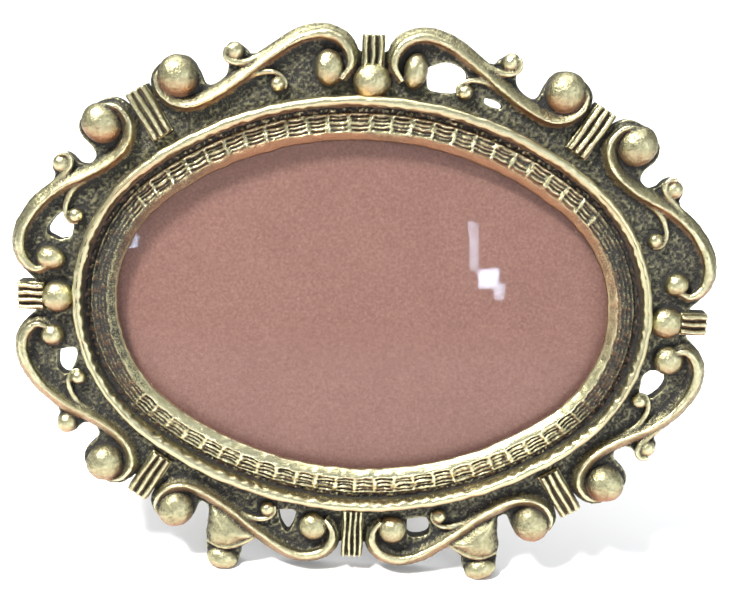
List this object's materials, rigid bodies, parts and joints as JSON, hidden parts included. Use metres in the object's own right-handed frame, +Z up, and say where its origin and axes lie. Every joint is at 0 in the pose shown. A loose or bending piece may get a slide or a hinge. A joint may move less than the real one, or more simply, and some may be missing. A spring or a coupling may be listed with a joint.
{
  "type": "display frame",
  "caption": "Oval cast-brass easel frame with a pierced scroll border, domed glass over an empty covered board, and a hinged strut behind.",
  "frame": {"origin": "on the surface it stands on, under the middle of its bounding box, standing on its two feet and the open strut", "axes": "+X across the oval, to the right when facing the glass; +Y back, away from the viewer, towards the strut; +Z up. The glass faces -Y and leans back 14 degrees."},
  "size_m": [0.1668, 0.054, 0.1306],
  "materials": {
    "frame_brass": "antique cast brass, polished on the high places and dark in the hollows",
    "glass": "clear, domed",
    "leatherette": "mauve brown, finely mottled",
    "board": "plain grey board",
    "card": "plain card",
    "back_brass": "rolled sheet, tarnished",
    "stand_brass": "sheet, lightly tarnished",
    "button_brass": "stamped sheet",
    "pin_steel": "plain drawn wire",
    "screw_steel": "slotted, dulled"
  },
  "bodies": {
    "root": {"cast_frame": "frame_brass", "domed_glass": "glass", "board_cover": "leatherette", "board_core": "board", "filler_card": "card", "back_plate": "back_brass", "hinge_leaf": "stand_brass", "leaf_rivet_left": "stand_brass", "leaf_rivet_right": "stand_brass", "hinge_pin": "pin_steel", "button_screw_top_left": "screw_steel", "button_screw_top_right": "screw_steel", "button_screw_bottom_left": "screw_steel", "button_screw_bottom_right": "screw_steel"},
    "strut": {"strut_leg": "stand_brass"},
    "button_top_left": {"turn_button_top_left": "button_brass"},
    "button_top_right": {"turn_button_top_right": "button_brass"},
    "button_bottom_left": {"turn_button_bottom_left": "button_brass"},
    "button_bottom_right": {"turn_button_bottom_right": "button_brass"}
  },
  "joints": [
    {"name": "strut_hinge", "type": "hinge", "parent": "root", "child": "strut", "pos_m": [0, 0.00159, 0.07647], "axis": [1, 0, 0], "range_deg": [-33.5, 0]},
    {"name": "button_top_left_turn", "type": "hinge", "parent": "root", "child": "button_top_left", "pos_m": [-0.03738, 0.00654, 0.10358], "axis": [0, -0.9703, 0.2419], "continuous": true},
    {"name": "button_top_right_turn", "type": "hinge", "parent": "root", "child": "button_top_right", "pos_m": [0.03738, 0.00654, 0.10358], "axis": [0, -0.9703, 0.2419], "continuous": true},
    {"name": "button_bottom_left_turn", "type": "hinge", "parent": "root", "child": "button_bottom_left", "pos_m": [-0.03738, -0.01257, 0.02692], "axis": [0, -0.9703, 0.2419], "continuous": true},
    {"name": "button_bottom_right_turn", "type": "hinge", "parent": "root", "child": "button_bottom_right", "pos_m": [0.03738, -0.01257, 0.02692], "axis": [0, -0.9703, 0.2419], "continuous": true}
  ]
}
